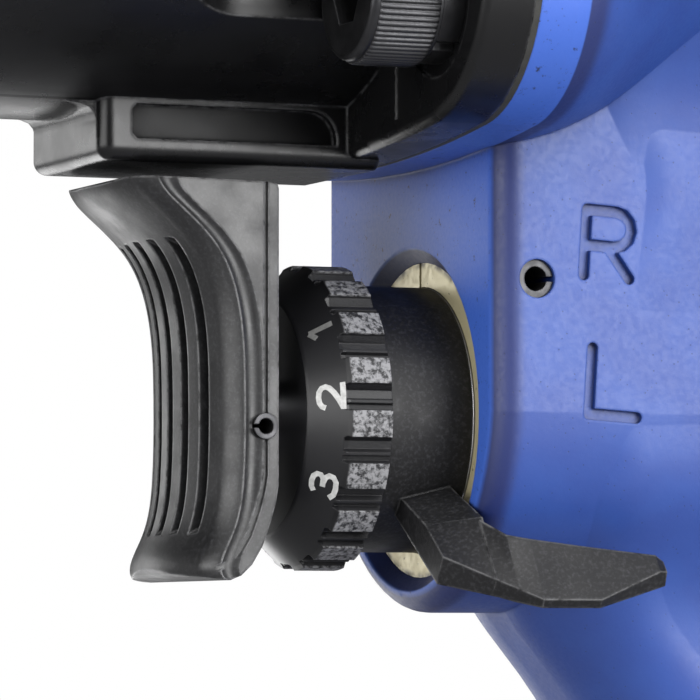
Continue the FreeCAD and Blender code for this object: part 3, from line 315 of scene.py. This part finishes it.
def dial_black():
    """Black dial with a grainy cast rim that has worn grey on its teeth."""
    n = Nodes("dial_black")
    radius = n.radius(VALVE)
    rim = n.span(radius, 11.85 * MM, 12.02 * MM)
    back = n.span(n.axis("X"), VALVE.x + 9.75 * MM, VALVE.x + 9.95 * MM, 1.0, 0.0)
    tooth = n.times(rim, back)
    grainy = n.times(n.span(radius, 11.0 * MM, 11.4 * MM), back)
    chips = n.noise(2300, detail=5, rough=0.7)
    worn = n.times(tooth, n.span(chips, 0.38, 0.60))
    color = n.mix(worn, srgb(25, 25, 27), srgb(128, 128, 130))
    rough = n.span(grainy, 0.0, 1.0, 0.34, 0.55)
    height = n.times(chips, n.math("ADD", n.times(grainy, 0.9), 0.05))
    return n.set(color=color, rough=rough, normal=n.bump(height, 0.00012, 0.6, n.rounded(DIAL_REACH)),
                 specular=0.3)


def steel(name, base, rough, metallic=1.0, turned=True):
    """Machined or blackened steel with fine tool marks round the X axis and bright edges."""
    n = Nodes(name)
    marks = n.noise(900, detail=4, rough=0.6, vector=n.stretch(6.0, 0.6, 0.6) if turned else None)
    color = n.mix(n.span(n.noise(500, detail=3), 0.3, 0.7), base, tuple(c * 0.78 for c in base[:3]) + (1,))
    color = n.mix(n.times(n.worn_edges(FINE_REACH), 0.5), color,
                  tuple(min(1.0, c * 1.9 + 0.03) for c in base[:3]) + (1,))
    return n.set(color=color, metallic=metallic,
                 rough=n.span(marks, 0.3, 0.7, rough - 0.06, rough + 0.1),
                 normal=n.bump(marks, FINE_BUMP, 0.3, n.rounded(FINE_REACH)))


def pale_brass():
    """Machined face of the brass bushing, dirty towards its rim."""
    n = Nodes("pale_brass")
    radius = n.radius(VALVE)
    rings = n.noise(1500, detail=3, rough=0.5, vector=n.stretch(4.0, 1.0, 1.0))
    grime = n.times(n.span(radius, 12.0 * MM, 12.55 * MM), n.span(n.noise(500, detail=4), 0.3, 0.6))
    spots = n.span(n.noise(1500, detail=4, rough=0.7), 0.64, 0.70)
    color = n.mix(n.math("MAXIMUM", grime, spots), srgb(206, 196, 158), srgb(58, 50, 34))
    return n.set(color=color, metallic=0.35, rough=n.span(rings, 0.3, 0.7, 0.34, 0.5),
                 normal=n.bump(rings, 0.00004, 0.4))


def plain(name, base, rough, grain=900, depth=BUMP):
    """Rubber, felt, gasket, moulded plastic and ink: one colour broken up by grain."""
    n = Nodes(name)
    field = n.noise(grain, detail=4, rough=0.6)
    color = n.mix(n.span(field, 0.3, 0.7), base, tuple(c * 0.7 for c in base[:3]) + (1,))
    return n.set(color=color, rough=n.span(field, 0.3, 0.7, rough - 0.05, rough + 0.08),
                 normal=n.bump(field, depth, 0.5))


SLOTS = {
    "blue_paint": blue_paint(),
    "case_black": case_black(),
    "gasket": plain("gasket", srgb(46, 46, 44), rough=0.7),
    "black_steel": steel("black_steel", srgb(62, 62, 64), rough=0.34, metallic=0.9),
    "machined_steel": steel("machined_steel", srgb(168, 168, 172), rough=0.3),
    "cast_plate": steel("cast_plate", srgb(120, 120, 122), rough=0.45),
    "bearing_steel": steel("bearing_steel", srgb(196, 196, 200), rough=0.16),
    "vane_composite": plain("vane_composite", srgb(112, 76, 42), rough=0.55),
    "anvil_steel": steel("anvil_steel", srgb(96, 96, 98), rough=0.36, metallic=0.9),
    "bronze": steel("bronze", srgb(176, 134, 78), rough=0.36),
    "seal_rubber": plain("seal_rubber", srgb(26, 26, 27), rough=0.62),
    "spring_steel": steel("spring_steel", srgb(150, 150, 154), rough=0.28, metallic=1.0, turned=False),
    "trigger_black": die_cast_black("trigger_black", shine=0.38, wear=0.25, specular=0.5),
    "pin_steel": steel("pin_steel", srgb(66, 66, 68), rough=0.42, metallic=0.9, turned=False),
    "dial_black": dial_black(),
    "lever_black": die_cast_black("lever_black", shine=0.42, wear=0.18, specular=0.22),
    "pale_brass": pale_brass(),
    "plated_steel": steel("plated_steel", srgb(188, 188, 190), rough=0.3, metallic=1.0, turned=False),
    "deflector_black": plain("deflector_black", srgb(32, 32, 33), rough=0.5, grain=1400),
    "felt": plain("felt", srgb(96, 94, 88), rough=0.9, grain=1800, depth=0.0002),
}
WHITE_INK = plain("white_ink", srgb(188, 188, 186), rough=0.55, grain=2600, depth=0.00002)
WORN_INK = plain("worn_ink", srgb(104, 104, 103), rough=0.6, grain=2600, depth=0.00002)


def dress_nodes():
    """Gives every CAD node the material of its slot, and smooth shading between its real edges."""
    for part in frame["record"]["subparts"]:
        mesh = NODES[part["node"]].data
        mesh.materials.clear()
        mesh.materials.append(SLOTS[part["material_slot"]])
        if "custom_normal" in mesh.attributes:
            mesh.attributes.remove(mesh.attributes["custom_normal"])
        mesh.shade_smooth()
        mesh.set_sharp_from_angle(angle=SHARP)


# ---- fine pieces ---------------------------------------------------------------
class Solid:
    """Vertices and faces of one closed piece, in row-frame metres."""

    def __init__(self):
        self.points = []
        self.faces = []

    def ring_of_sections(self, sections, around=False):
        """Skins a run of equal closed sections; the ends are capped unless the run closes on itself."""
        start, count = len(self.points), len(sections[0])
        for section in sections:
            self.points.extend(section)
        last = len(sections) if around else len(sections) - 1
        for i in range(last):
            a, b = start + i * count, start + ((i + 1) % len(sections)) * count
            for j in range(count):
                k = (j + 1) % count
                self.faces.append((a + j, a + k, b + k, b + j))
        if not around:
            end = start + (len(sections) - 1) * count
            self.faces.append(tuple(range(start, start + count))[::-1])
            self.faces.append(tuple(range(end, end + count)))

    def make(self, name, body, material):
        """Adds the piece to the scene, with its faces turned outwards, riding on body."""
        mesh = bpy.data.meshes.new(name)
        mesh.from_pydata([tuple(p) for p in self.points], [], self.faces)
        mesh.validate()
        mesh.materials.append(material)
        piece = bpy.data.objects.new(name, mesh)
        bpy.context.scene.collection.objects.link(piece)
        bpy.context.view_layer.objects.active = piece
        piece.select_set(True)
        bpy.ops.object.mode_set(mode="EDIT")
        bpy.ops.mesh.select_all(action="SELECT")
        bpy.ops.mesh.normals_make_consistent(inside=False)
        bpy.ops.object.mode_set(mode="OBJECT")
        piece.select_set(False)
        mesh.shade_smooth()
        mesh.set_sharp_from_angle(angle=SHARP)
        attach(piece, body)


CONE_REAR = (10.1, 11.8)           # mm: forward of the boss face, and radius
CONE_FRONT = (12.45, 9.6)
DIGIT_HIGH = 2.05
DIGIT_WIDE = 1.95
STROKE = 0.44
STROKE_STEP = 0.3
DIGIT_FOOT = 0.42                  # bare cone behind the foot of a digit
INK_TOP, INK_SUNK = 0.03, -0.03
# Each digit's place, in degrees up from the tool's left, and its strokes in a box one wide and one high.
DIGITS = {
    "1": (37.0, [[(-0.34, 0.74), (0.02, 1.0)], [(0.04, 1.0), (0.04, 0.0)]]),
    "2": (6.3, [[(-0.44, 0.72), (-0.38, 0.87), (-0.22, 0.97), (0.0, 1.0), (0.22, 0.97), (0.38, 0.86),
                 (0.42, 0.70), (0.34, 0.54), (0.14, 0.36), (-0.16, 0.16), (-0.40, 0.02)],
                [(-0.50, 0.0), (0.50, 0.0)]]),
    "3": (-31.0, [[(-0.42, 0.84), (-0.26, 0.96), (0.0, 1.0), (0.24, 0.96), (0.38, 0.83), (0.38, 0.68),
                   (0.24, 0.56), (-0.10, 0.53)],
                  [(0.10, 0.53), (0.32, 0.48), (0.44, 0.34), (0.42, 0.16), (0.26, 0.03), (0.0, 0.0),
                   (-0.26, 0.03), (-0.46, 0.18)]]),
}


def on_cone(turn, across, up, lift):
    """Point on the dial's cone: turn in degrees, the rest in mm, lift along the cone's normal."""
    run, fall = CONE_FRONT[0] - CONE_REAR[0], CONE_REAR[1] - CONE_FRONT[1]
    slope = math.hypot(run, fall)
    along = CONE_REAR[0] + run * up / slope + lift * fall / slope
    radius = CONE_REAR[1] - fall * up / slope + lift * run / slope
    angle = math.radians(turn) + across / (0.5 * (CONE_REAR[1] + CONE_FRONT[1]))
    return VALVE + Vector((along, radius * math.cos(angle), radius * math.sin(angle))) * MM


def make_digits():
    """Setting numbers, read upwards, with their tops towards the trigger."""
    for digit, (turn, strokes) in DIGITS.items():
        solid = Solid()
        for stroke in strokes:
            line = [Vector((x * DIGIT_WIDE, y * DIGIT_HIGH + DIGIT_FOOT)) for x, y in stroke]
            fine = [line[0]]
            for a, b in zip(line, line[1:]):
                steps = max(1, int((b - a).length / STROKE_STEP))
                fine.extend(a.lerp(b, (i + 1) / steps) for i in range(steps))
            sections = []
            for i, spot in enumerate(fine):
                way = (fine[min(i + 1, len(fine) - 1)] - fine[max(i - 1, 0)]).normalized()
                side = Vector((-way.y, way.x)) * STROKE / 2
                left, right = spot + side, spot - side
                corners = ((left, INK_TOP), (right, INK_TOP), (right, INK_SUNK), (left, INK_SUNK))
                sections.append([on_cone(turn, at.x, at.y, lift) for at, lift in corners])
            solid.ring_of_sections(sections)
        ink = WORN_INK if digit == "1" else WHITE_INK
        solid.make("dial_digit_" + digit, "power_dial", ink)


SCREW_SPREAD = 25.3                # mm from the drive axis, both ways
HEAD_TALL = 5.8
SLEEVE_BORE, GROOVE_FOOT, RIDGE_TOP = 5.10, 5.24, 5.43
KNURLS = 72
KNURL_WAVE = (0.0, 0.75, 1.0, 0.75)
SLEEVE_REAR = ((0.25, 0), (0.30, 0.45), (0.55, 1.0))       # mm from the head's foot, share of height
SLEEVE_FRONT = ((1.00, 1.0), (0.72, 0.45), (0.62, 0))      # mm from the head's top, share of height
CORNERS = {"upper_left": (1, 1), "upper_right": (-1, 1), "lower_left": (1, -1), "lower_right": (-1, -1)}


def make_knurling():
    """Straight knurling round the heads of the hammer case screws."""
    top = SCREW_TOPS[0] / MM
    stations = [(top - HEAD_TALL + x, share) for x, share in SLEEVE_REAR]
    stations += [(top - x, share) for x, share in SLEEVE_FRONT]
    count = KNURLS * len(KNURL_WAVE)
    for name, (y, z) in CORNERS.items():
        solid = Solid()
        sections = []
        for i in range(count):
            angle = math.tau * i / count
            ridge = KNURL_WAVE[i % len(KNURL_WAVE)]
            section = []
            for x, share in stations:
                radius = GROOVE_FOOT + (RIDGE_TOP - GROOVE_FOOT) * ridge * share if share else SLEEVE_BORE
                section.append(Vector((x, y * SCREW_SPREAD + radius * math.cos(angle),
                                       z * SCREW_SPREAD + radius * math.sin(angle))) * MM)
            sections.append(section)
        solid.ring_of_sections(sections, around=True)
        solid.make("screw_knurling_" + name, "housing", SLOTS["black_steel"])


FLANGE_FRONT = -71.30              # mm forward of the drive axis' origin
LINE_Y, LINE_TOP, LINE_LONG = 17.9, -29.1, 4.8
LINE_HIGH, LINE_SUNK = 0.16, 0.15
LINE_HALF, LINE_SHOULDER = 0.22, 0.12
LINE_STEPS = 12


def make_casting_line():
    """Fine parting line left by the mould on the front face of the case flange, slightly uneven."""
    solid = Solid()
    sections = []
    for i in range(LINE_STEPS + 1):
        z = LINE_TOP - LINE_LONG * i / LINE_STEPS
        y = LINE_Y + 0.05 * math.sin(1.9 * i)
        high = LINE_HIGH + 0.04 * math.sin(2.7 * i)
        profile = ((-LINE_SUNK, -LINE_HALF), (high * 0.6, -LINE_SHOULDER), (high, 0.0),
                   (high * 0.6, LINE_SHOULDER), (-LINE_SUNK, LINE_HALF))
        sections.append([Vector((FLANGE_FRONT + x, y + off, z)) * MM for x, off in profile])
    solid.ring_of_sections(sections)
    solid.make("flange_casting_line", "housing", SLOTS["case_black"])


# ---- stage ---------------------------------------------------------------------
WORLD_FILL = 0.05
WORLD_TINT = (0.95, 0.97, 1.0, 1.0)
WHITE = (1.0, 1.0, 1.0, 1.0)
FLOOR_SIZE = 6.0


def make_stage():
    bpy.ops.mesh.primitive_plane_add(size=FLOOR_SIZE, location=(0, 0, FLOOR_Z))
    floor = bpy.context.object
    floor.name = "floor"
    n = Nodes("floor")
    floor.data.materials.append(n.set(color=srgb(172, 172, 174), rough=0.7))


def soft_light(name, toward, size, radiance):
    """Softbox at toward, in metres from the valve axis, facing it; radiance is what a mirror would show."""
    data = bpy.data.lights.new(name, "AREA")
    data.shape = "RECTANGLE"
    data.size, data.size_y = size
    data.energy = radiance * math.pi * size[0] * size[1]
    light = bpy.data.objects.new(name, data)
    light.location = VALVE + Vector(toward)
    light.visible_camera = False
    light.rotation_euler = (-Vector(toward)).to_track_quat("-Z", "Y").to_euler()
    bpy.context.scene.collection.objects.link(light)


def make_lights():
    soft_light("side_box", toward=(-0.45, 0.95, 0.10), size=(0.62, 0.38), radiance=12.5)
    soft_light("high_box", toward=(-0.16, 0.76, 0.66), size=(0.90, 0.72), radiance=7.2)
    soft_light("nose_box", toward=(0.94, 0.30, 0.14), size=(1.00, 0.40), radiance=6.0)
    soft_light("far_box", toward=(0.42, -0.92, 0.06), size=(0.60, 0.40), radiance=2.4)
    soft_light("low_card", toward=(0.02, -0.20, -0.062), size=(0.13, 0.05), radiance=3.6)


def make_world():
    """White to look at; it lights the tool with an even, dimmer grey."""
    world = bpy.data.worlds.new("studio")
    world.use_nodes = True
    tree = world.node_tree
    seen = tree.nodes["Background"]
    seen.inputs["Color"].default_value = WHITE
    fill = tree.nodes.new("ShaderNodeBackground")
    fill.inputs["Color"].default_value = WORLD_TINT
    fill.inputs["Strength"].default_value = WORLD_FILL
    path = tree.nodes.new("ShaderNodeLightPath")
    blend = tree.nodes.new("ShaderNodeMixShader")
    tree.links.new(path.outputs["Is Camera Ray"], blend.inputs[0])
    tree.links.new(fill.outputs[0], blend.inputs[1])
    tree.links.new(seen.outputs[0], blend.inputs[2])
    tree.links.new(blend.outputs[0], tree.nodes["World Output"].inputs["Surface"])
    bpy.context.scene.world = world
    bpy.context.scene.view_settings.view_transform = "Standard"


make_camera()
make_stage()
make_lights()
make_world()
dress_nodes()
make_digits()
make_knurling()
make_casting_line()
